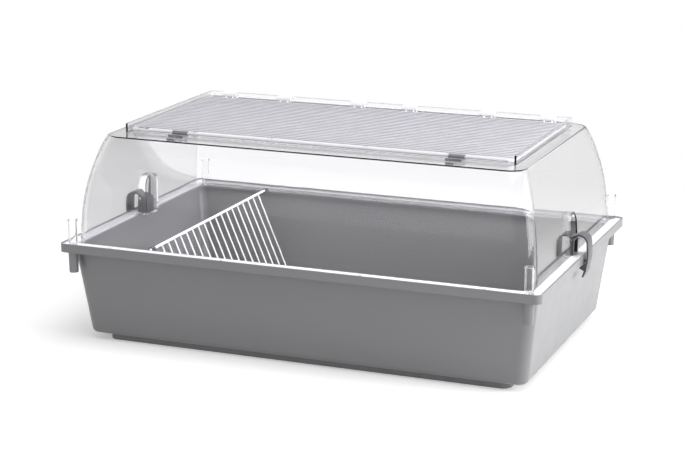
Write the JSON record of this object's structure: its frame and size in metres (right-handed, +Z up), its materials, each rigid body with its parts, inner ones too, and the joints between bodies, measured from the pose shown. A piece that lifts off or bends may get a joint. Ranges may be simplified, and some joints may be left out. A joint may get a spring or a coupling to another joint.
{
  "type": "rodent cage",
  "caption": "Rodent cage with a grey moulded tub, a clear dome cover held by end latches, a wire roof door on hinges and a leaning white wire divider.",
  "frame": {"origin": "centre of the underside of the foot", "axes": "+X along the long side, -Y is the front, +Z up"},
  "size_m": [0.7286, 0.46, 0.313],
  "materials": {
    "tub_grey": "smooth moulded, slightly glossy",
    "clear_plastic": "clear moulded plastic",
    "dark_plastic": "satin",
    "pale_plastic": "satin",
    "grille_wire": "coated wire",
    "white_wire": "white coated wire",
    "pin_steel": "plain"
  },
  "bodies": {
    "tub": {"tub": "tub_grey", "tub_rim": "tub_grey"},
    "cover": {"dome_cover": "clear_plastic", "corner_post_front_left": "clear_plastic", "corner_post_front_right": "clear_plastic", "corner_post_back_left": "clear_plastic", "corner_post_back_right": "clear_plastic", "latch_bracket_left": "dark_plastic", "latch_bracket_right": "dark_plastic", "latch_pin_left": "pin_steel", "latch_pin_right": "pin_steel", "roof_catch_left": "dark_plastic", "roof_catch_right": "dark_plastic"},
    "latch_left": {"latch_lever_left": "dark_plastic"},
    "latch_right": {"latch_lever_right": "dark_plastic"},
    "door": {"door_frame_wire": "grille_wire", "door_grille": "grille_wire", "hinge_rod": "grille_wire", "hinge_knuckle_1": "pale_plastic", "hinge_knuckle_2": "pale_plastic", "hinge_knuckle_3": "pale_plastic", "hinge_knuckle_4": "pale_plastic", "hinge_knuckle_5": "pale_plastic", "hinge_knuckle_6": "pale_plastic"},
    "clip_left": {"roof_clip_left": "dark_plastic"},
    "clip_right": {"roof_clip_right": "dark_plastic"},
    "divider": {"divider_top_rod": "white_wire", "divider_wires": "white_wire", "divider_cap_front": "dark_plastic", "divider_cap_back": "dark_plastic"}
  },
  "joints": [
    {"name": "cover_lift", "type": "slide", "parent": "tub", "child": "cover", "axis": [0, 0, 1], "range_m": [0, 0.03]},
    {"name": "latch_right_turn", "type": "hinge", "parent": "cover", "child": "latch_right", "pos_m": [0.338, 0, 0.17], "axis": [0, -1, 0], "range_deg": [0, 85]},
    {"name": "latch_left_turn", "type": "hinge", "parent": "cover", "child": "latch_left", "pos_m": [-0.338, 0, 0.17], "axis": [0, 1, 0], "range_deg": [0, 85]},
    {"name": "door_swing", "type": "hinge", "parent": "cover", "child": "door", "pos_m": [0, 0.147, 0.3065], "axis": [1, 0, 0], "range_deg": [-105, 0]},
    {"name": "clip_left_turn", "type": "hinge", "parent": "door", "child": "clip_left", "pos_m": [-0.208, -0.133, 0.3041], "axis": [1, 0, 0], "range_deg": [-90, 0]},
    {"name": "clip_right_turn", "type": "hinge", "parent": "door", "child": "clip_right", "pos_m": [0.208, -0.133, 0.3041], "axis": [1, 0, 0], "range_deg": [-90, 0]},
    {"name": "divider_slide", "type": "slide", "parent": "tub", "child": "divider", "axis": [1, 0, 0], "range_m": [-0.06, 0.06]}
  ],
  "couplings": [
    {"joint": "latch_right_turn", "follows": "cover_lift", "rad_per_m": 49.4},
    {"joint": "latch_left_turn", "follows": "cover_lift", "rad_per_m": 49.4}
  ]
}
